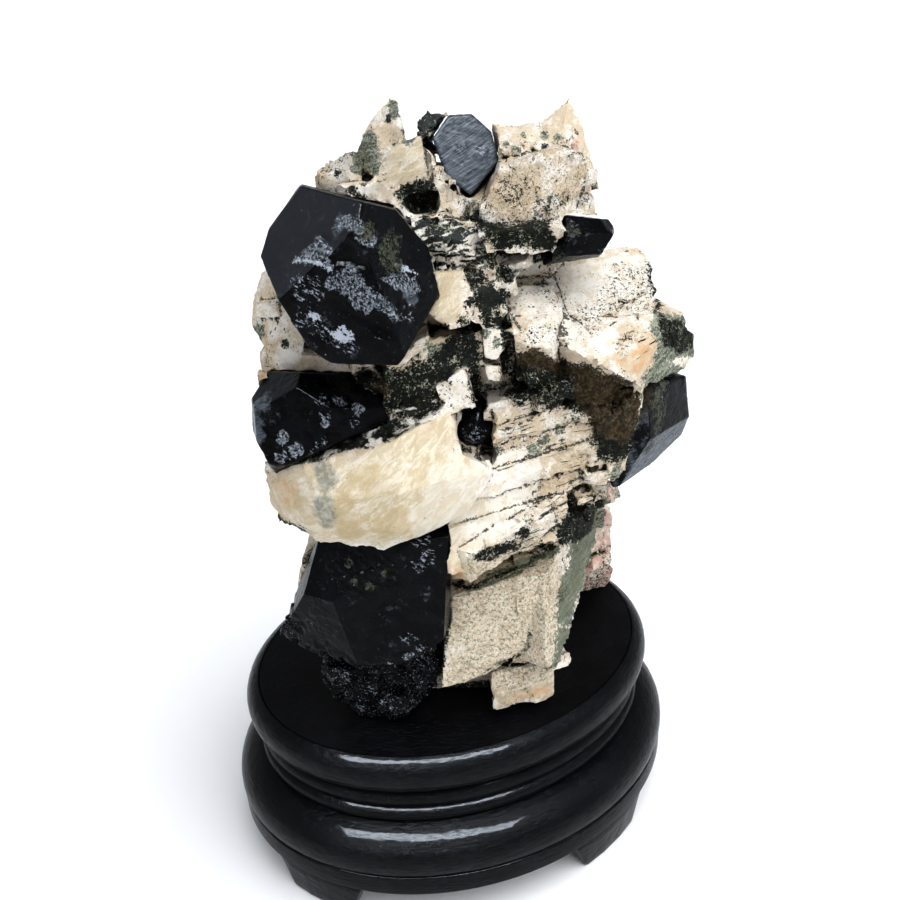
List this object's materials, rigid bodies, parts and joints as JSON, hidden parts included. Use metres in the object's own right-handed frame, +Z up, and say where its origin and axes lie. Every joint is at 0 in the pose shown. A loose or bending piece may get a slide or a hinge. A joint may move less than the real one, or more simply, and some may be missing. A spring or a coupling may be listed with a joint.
{
  "type": "morion quartz cluster",
  "caption": "Tall upright cluster of blocky cream feldspar and glossy black morion quartz crystals, standing on a moulded oval black lacquered stand with bracket feet.",
  "frame": {"origin": "centre of the bounding box at the undersides of the feet, which is the middle of the oval stand on the floor", "axes": "+Z up, the tallest way of the object; +X along the stand's long axis; the side seen in the picture faces -Y, turned a little towards -X"},
  "size_m": [0.1094, 0.0874, 0.1784],
  "materials": {
    "feldspar": "rough cleaved, cream with dark specks and green-black gaps",
    "morion": "glossy natural crystal faces, near black",
    "lacquer": "black gloss lacquer"
  },
  "bodies": {
    "root": {"feldspar_matrix": "feldspar", "morion_upper_left": "morion", "morion_middle_left": "morion", "morion_lower_left": "morion", "morion_right": "morion", "morion_top_right": "morion", "morion_top": "morion", "morion_in_hollow": "morion", "morion_back_low": "morion", "morion_back_high": "morion", "stand_body": "lacquer", "foot_front_left": "lacquer", "foot_front_right": "lacquer", "foot_back_right": "lacquer", "foot_back_left": "lacquer"}
  },
  "joints": []
}
